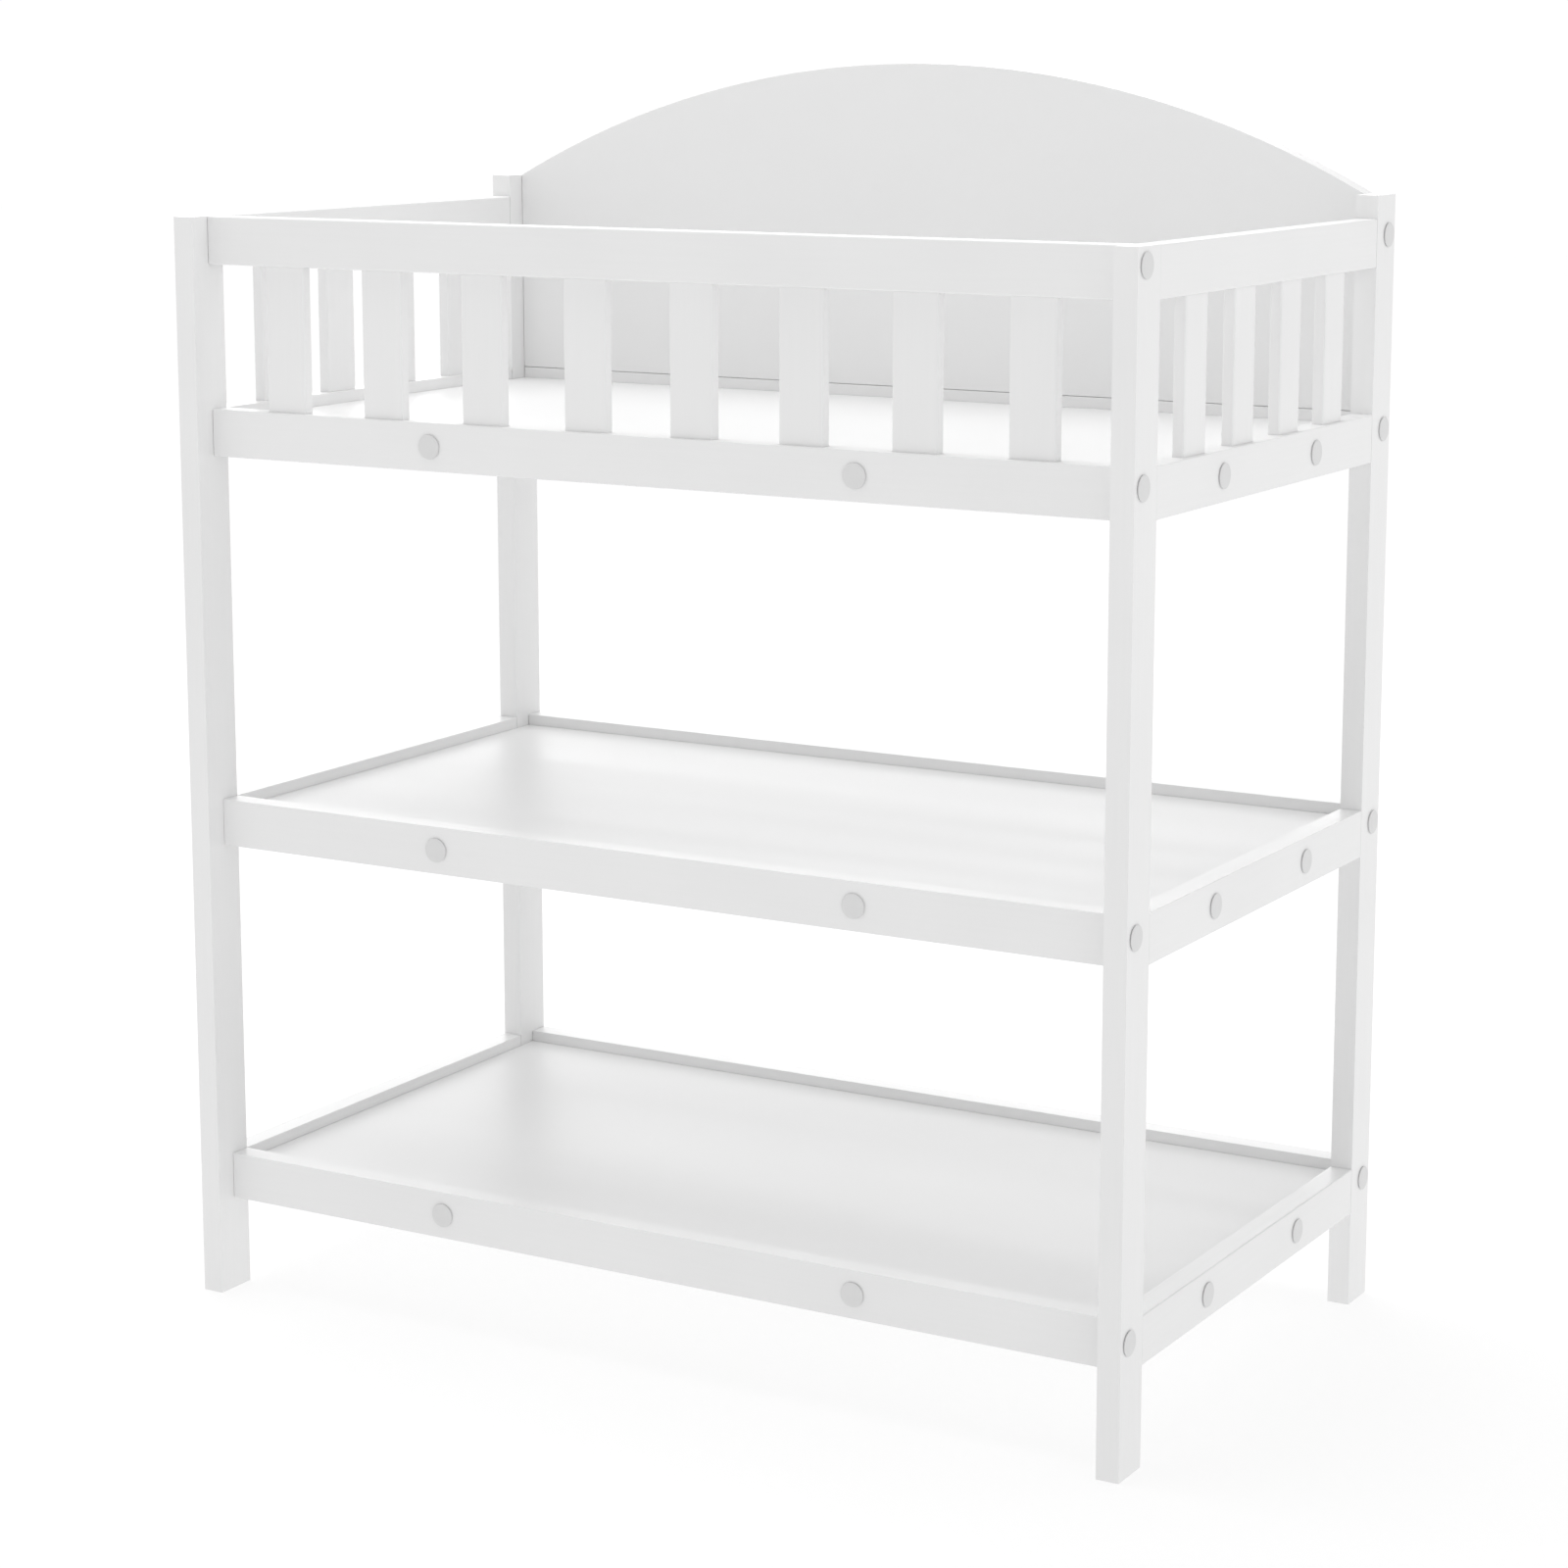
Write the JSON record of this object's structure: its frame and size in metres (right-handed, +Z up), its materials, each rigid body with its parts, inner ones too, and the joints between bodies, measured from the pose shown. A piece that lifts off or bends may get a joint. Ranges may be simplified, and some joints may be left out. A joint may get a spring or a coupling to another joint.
{
  "type": "changing table",
  "caption": "Open changing table with slim posts, a slatted guard round a raised deck, an arched solid back and open shelves below, joined by cam locks under cover caps.",
  "frame": {"origin": "on the floor, under the middle of the table's outer box", "axes": "+X to the table's right end as seen by the person using it, +Y to the arched back, +Z up"},
  "size_m": [0.8738, 0.497, 1.0435],
  "materials": {
    "painted_wood": "satin white paint on solid wood",
    "painted_board": "satin white paint on fibreboard",
    "cap_plastic": "fine matt moulding",
    "zinc_steel": "zinc plated",
    "beech": "bare wood"
  },
  "bodies": {
    "root": {"arched_back_panel": "painted_board", "back_bottom_rail": "painted_wood", "back_deck_rail": "painted_wood", "back_left_post": "painted_wood", "back_left_post_cap_1": "cap_plastic", "back_left_post_cap_2": "cap_plastic", "back_left_post_cap_3": "cap_plastic", "back_left_post_cap_4": "cap_plastic", "back_middle_rail": "painted_wood", "back_right_post": "painted_wood", "back_right_post_cap_1": "cap_plastic", "back_right_post_cap_2": "cap_plastic", "back_right_post_cap_3": "cap_plastic", "back_right_post_cap_4": "cap_plastic", "bottom_shelf": "painted_board", "changing_deck": "painted_board", "front_bottom_rail": "painted_wood", "front_deck_rail": "painted_wood", "front_guard_top_rail": "painted_wood", "front_left_post": "painted_wood", "front_left_post_cap_1": "cap_plastic", "front_left_post_cap_2": "cap_plastic", "front_left_post_cap_3": "cap_plastic", "front_left_post_cap_4": "cap_plastic", "front_middle_rail": "painted_wood", "front_right_post": "painted_wood", "front_right_post_cap_1": "cap_plastic", "front_right_post_cap_2": "cap_plastic", "front_right_post_cap_3": "cap_plastic", "front_right_post_cap_4": "cap_plastic", "front_slat_1": "painted_wood", "front_slat_2": "painted_wood", "front_slat_3": "painted_wood", "front_slat_4": "painted_wood", "front_slat_5": "painted_wood", "front_slat_6": "painted_wood", "front_slat_7": "painted_wood", "front_slat_8": "painted_wood", "left_bottom_rail": "painted_wood", "left_deck_rail": "painted_wood", "left_guard_top_rail": "painted_wood", "left_middle_rail": "painted_wood", "left_slat_1": "painted_wood", "left_slat_2": "painted_wood", "left_slat_3": "painted_wood", "left_slat_4": "painted_wood", "middle_shelf": "painted_board", "right_bottom_rail": "painted_wood", "right_deck_rail": "painted_wood", "right_guard_top_rail": "painted_wood", "right_middle_rail": "painted_wood", "right_slat_1": "painted_wood", "right_slat_2": "painted_wood", "right_slat_3": "painted_wood", "right_slat_4": "painted_wood"}
  },
  "joints": []
}
